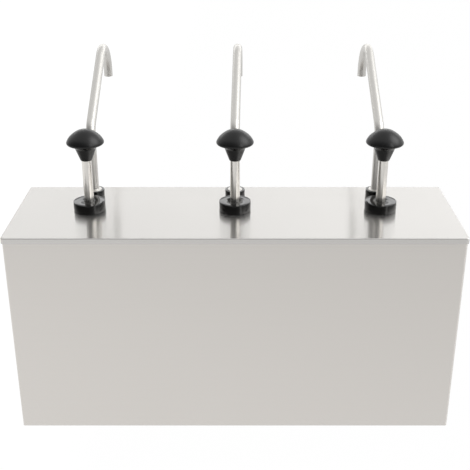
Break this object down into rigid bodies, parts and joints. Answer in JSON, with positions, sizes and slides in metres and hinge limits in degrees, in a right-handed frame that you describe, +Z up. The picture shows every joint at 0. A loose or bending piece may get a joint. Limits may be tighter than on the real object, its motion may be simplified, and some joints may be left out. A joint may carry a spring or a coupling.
{
  "type": "sauce dispenser",
  "caption": "Countertop sauce dispenser: sheet steel housing with lift-out pans under a flat lid that carries a row of push-knob piston pumps with swan-neck spouts.",
  "frame": {"origin": "centre of the underside of the housing, on the table", "axes": "+Z up, +X along the long side to the right as seen from the knob side, +Y from the knob side to the spout side"},
  "size_m": [0.5464, 0.32, 0.4327],
  "materials": {
    "sheet_steel": "fine satin stainless sheet",
    "pan_steel": "satin stainless",
    "tube_steel": "polished stainless",
    "spring_steel": "drawn stainless wire",
    "gloss_black": "glossy moulded black",
    "satin_black": "satin moulded black",
    "white_plastic": "machined white acetal",
    "seal_rubber": "matt seal rubber"
  },
  "bodies": {
    "housing": {"housing_shell": "sheet_steel", "housing_base": "sheet_steel", "pan_deck": "sheet_steel"},
    "lid_unit": {"lid": "sheet_steel", "pump_cap_left": "gloss_black", "guide_bush_left": "gloss_black", "cap_gasket_left": "seal_rubber", "pump_cylinder_left": "pan_steel", "return_spring_left": "spring_steel", "valve_body_left": "white_plastic", "inlet_seat_left": "white_plastic", "riser_tube_left": "tube_steel", "outlet_neck_left": "pan_steel", "spout_nut_left": "gloss_black", "pump_cap_centre": "gloss_black", "guide_bush_centre": "gloss_black", "cap_gasket_centre": "seal_rubber", "pump_cylinder_centre": "pan_steel", "return_spring_centre": "spring_steel", "valve_body_centre": "white_plastic", "inlet_seat_centre": "white_plastic", "riser_tube_centre": "tube_steel", "outlet_neck_centre": "pan_steel", "spout_nut_centre": "gloss_black", "pump_cap_right": "gloss_black", "guide_bush_right": "gloss_black", "cap_gasket_right": "seal_rubber", "pump_cylinder_right": "pan_steel", "return_spring_right": "spring_steel", "valve_body_right": "white_plastic", "inlet_seat_right": "white_plastic", "riser_tube_right": "tube_steel", "outlet_neck_right": "pan_steel", "spout_nut_right": "gloss_black"},
    "pan_unit_left": {"pan_left": "pan_steel"},
    "plunger_left": {"knob_left": "satin_black", "plunger_tube_left": "tube_steel", "piston_left": "white_plastic", "piston_seal_left": "seal_rubber"},
    "spout_arm_left": {"spout_left": "tube_steel"},
    "inlet_valve_left": {"inlet_ball_left": "tube_steel"},
    "outlet_valve_left": {"outlet_ball_left": "tube_steel"},
    "pan_unit_centre": {"pan_centre": "pan_steel"},
    "plunger_centre": {"knob_centre": "satin_black", "plunger_tube_centre": "tube_steel", "piston_centre": "white_plastic", "piston_seal_centre": "seal_rubber"},
    "spout_arm_centre": {"spout_centre": "tube_steel"},
    "inlet_valve_centre": {"inlet_ball_centre": "tube_steel"},
    "outlet_valve_centre": {"outlet_ball_centre": "tube_steel"},
    "pan_unit_right": {"pan_right": "pan_steel"},
    "plunger_right": {"knob_right": "satin_black", "plunger_tube_right": "tube_steel", "piston_right": "white_plastic", "piston_seal_right": "seal_rubber"},
    "spout_arm_right": {"spout_right": "tube_steel"},
    "inlet_valve_right": {"inlet_ball_right": "tube_steel"},
    "outlet_valve_right": {"outlet_ball_right": "tube_steel"}
  },
  "joints": [
    {"name": "lid_lift", "type": "slide", "parent": "housing", "child": "lid_unit", "axis": [0, 0, 1], "range_m": [0, 0.42]},
    {"name": "pan_lift_left", "type": "slide", "parent": "housing", "child": "pan_unit_left", "axis": [0, 0, 1], "range_m": [0, 0.21]},
    {"name": "plunger_stroke_left", "type": "slide", "parent": "lid_unit", "child": "plunger_left", "axis": [0, 0, -1], "range_m": [0, 0.05], "stiffness_N_per_m": 400, "springref_m": -0.02, "deforming": ["return_spring_left"]},
    {"name": "spout_swivel_left", "type": "hinge", "parent": "lid_unit", "child": "spout_arm_left", "pos_m": [-0.1817, 0.0474, 0.27], "axis": [0, 0, 1], "range_deg": [-25, 25]},
    {"name": "inlet_ball_lift_left", "type": "slide", "parent": "lid_unit", "child": "inlet_valve_left", "axis": [0, 0, 1], "range_m": [0, 0.005]},
    {"name": "outlet_ball_lift_left", "type": "slide", "parent": "lid_unit", "child": "outlet_valve_left", "axis": [0, 0, 1], "range_m": [0, 0.0035]},
    {"name": "pan_lift_centre", "type": "slide", "parent": "housing", "child": "pan_unit_centre", "axis": [0, 0, 1], "range_m": [0, 0.21]},
    {"name": "plunger_stroke_centre", "type": "slide", "parent": "lid_unit", "child": "plunger_centre", "axis": [0, 0, -1], "range_m": [0, 0.05], "stiffness_N_per_m": 400, "springref_m": -0.02, "deforming": ["return_spring_centre"]},
    {"name": "spout_swivel_centre", "type": "hinge", "parent": "lid_unit", "child": "spout_arm_centre", "pos_m": [0, 0.0474, 0.27], "axis": [0, 0, 1], "range_deg": [-25, 25]},
    {"name": "inlet_ball_lift_centre", "type": "slide", "parent": "lid_unit", "child": "inlet_valve_centre", "axis": [0, 0, 1], "range_m": [0, 0.005]},
    {"name": "outlet_ball_lift_centre", "type": "slide", "parent": "lid_unit", "child": "outlet_valve_centre", "axis": [0, 0, 1], "range_m": [0, 0.0035]},
    {"name": "pan_lift_right", "type": "slide", "parent": "housing", "child": "pan_unit_right", "axis": [0, 0, 1], "range_m": [0, 0.21]},
    {"name": "plunger_stroke_right", "type": "slide", "parent": "lid_unit", "child": "plunger_right", "axis": [0, 0, -1], "range_m": [0, 0.05], "stiffness_N_per_m": 400, "springref_m": -0.02, "deforming": ["return_spring_right"]},
    {"name": "spout_swivel_right", "type": "hinge", "parent": "lid_unit", "child": "spout_arm_right", "pos_m": [0.1817, 0.0474, 0.27], "axis": [0, 0, 1], "range_deg": [-25, 25]},
    {"name": "inlet_ball_lift_right", "type": "slide", "parent": "lid_unit", "child": "inlet_valve_right", "axis": [0, 0, 1], "range_m": [0, 0.005]},
    {"name": "outlet_ball_lift_right", "type": "slide", "parent": "lid_unit", "child": "outlet_valve_right", "axis": [0, 0, 1], "range_m": [0, 0.0035]}
  ],
  "couplings": [
    {"joint": "pan_lift_left", "follows": "lid_lift", "ratio": 0.5},
    {"joint": "pan_lift_centre", "follows": "lid_lift", "ratio": 0.5},
    {"joint": "pan_lift_right", "follows": "lid_lift", "ratio": 0.5}
  ]
}
